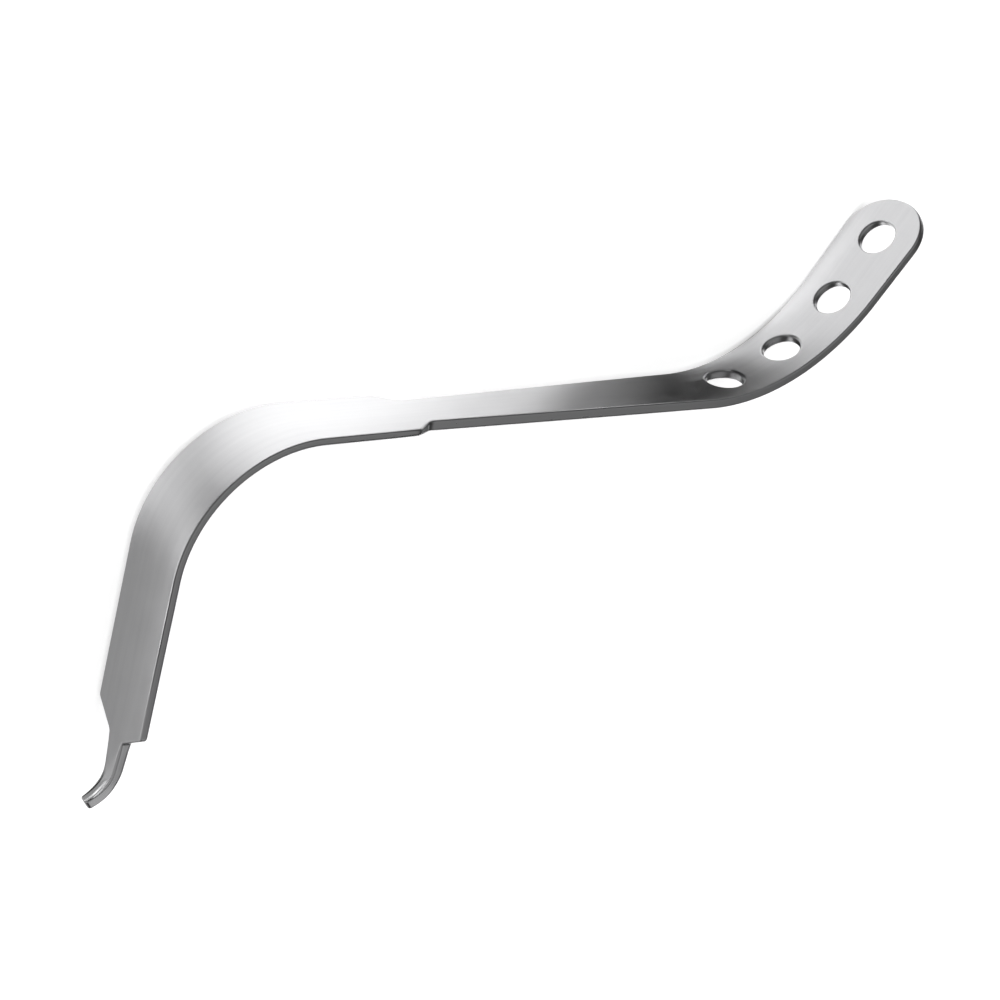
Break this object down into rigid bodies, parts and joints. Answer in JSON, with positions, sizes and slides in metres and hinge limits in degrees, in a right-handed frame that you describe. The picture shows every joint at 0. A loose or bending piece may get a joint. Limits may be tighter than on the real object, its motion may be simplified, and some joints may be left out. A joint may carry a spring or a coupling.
{
  "type": "handheld surgical retractor",
  "caption": "Bent steel lever retractor for bone surgery, with a wide blade, a narrow outturned nose and a holed grip.",
  "frame": {"origin": "middle of the width on the front face of the straight shank, 60 mm from the grip's bend", "axes": "+X along the straight shank to the grip, +Y out of the shank's front face, +Z across the bar's width; it lies on its side, on its lowest edge in Z"},
  "size_m": [0.2629, 0.1588, 0.028],
  "materials": {
    "satin_steel": "satin, fine brushed along the bar"
  },
  "bodies": {
    "root": {"retractor_bar": "satin_steel"}
  },
  "joints": []
}
